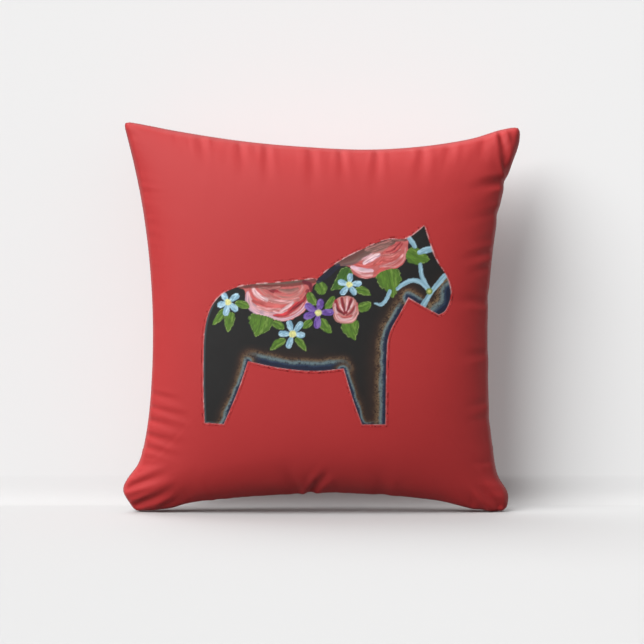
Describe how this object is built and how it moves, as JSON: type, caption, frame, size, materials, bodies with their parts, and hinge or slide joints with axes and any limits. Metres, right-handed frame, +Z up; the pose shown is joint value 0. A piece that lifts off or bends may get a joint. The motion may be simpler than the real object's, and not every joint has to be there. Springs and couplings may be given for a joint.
{
  "type": "scatter cushion",
  "caption": "Square red scatter cushion printed with a rose-painted dala horse, with a zipped cover over a fibre-filled insert.",
  "frame": {"origin": "centre of the bounding box's base, where the two bottom corners stand", "axes": "+Z up, the printed front faces -Y, the horse's head is on the +X side"},
  "size_m": [0.3986, 0.1426, 0.3903],
  "materials": {
    "cover_cloth": "matte plain-weave polyester, dyed red",
    "horse_print": "matte print in the cloth, black with rose painting",
    "sewing_thread": "polyester thread",
    "zip_tape": "woven herringbone tape",
    "zip_coil": "dyed nylon",
    "zip_metal": "satin nickel",
    "insert_casing": "white nonwoven",
    "fibre_fill": "white hollow polyester fibre"
  },
  "bodies": {
    "cushion": {"cover_front_panel": "cover_cloth", "cover_back_upper": "cover_cloth", "cover_back_lower": "cover_cloth", "dala_horse_print": "horse_print", "cover_seam_thread": "sewing_thread", "zip_stitching_upper": "sewing_thread", "zip_stitching_lower": "sewing_thread", "zip_end_tack_left": "sewing_thread", "zip_end_tack_right": "sewing_thread", "zip_tape_upper": "zip_tape", "zip_tape_lower": "zip_tape", "zip_coil_upper": "zip_coil", "zip_coil_lower": "zip_coil", "zip_top_stop_upper": "zip_metal", "zip_top_stop_lower": "zip_metal", "zip_bottom_stop": "zip_metal", "insert_casing_front": "insert_casing", "insert_casing_back": "insert_casing", "insert_seam_thread": "insert_casing", "fibre_fill": "fibre_fill"},
    "zip_slider": {"zip_slider_body": "zip_metal"},
    "zip_pull_tab": {"zip_pull_tab": "zip_metal"}
  },
  "joints": [
    {"name": "zip_slide", "type": "hinge", "parent": "cushion", "child": "zip_slider", "pos_m": [0, -0.2729, 0.062], "axis": [0, 0, 1], "range_deg": [0, 41.3]},
    {"name": "pull_tab_swing", "type": "hinge", "parent": "zip_slider", "child": "zip_pull_tab", "pos_m": [0.118, 0.03982, 0.06064], "axis": [-0.1076, -0.2852, -0.9524], "range_deg": [0, 175]}
  ]
}
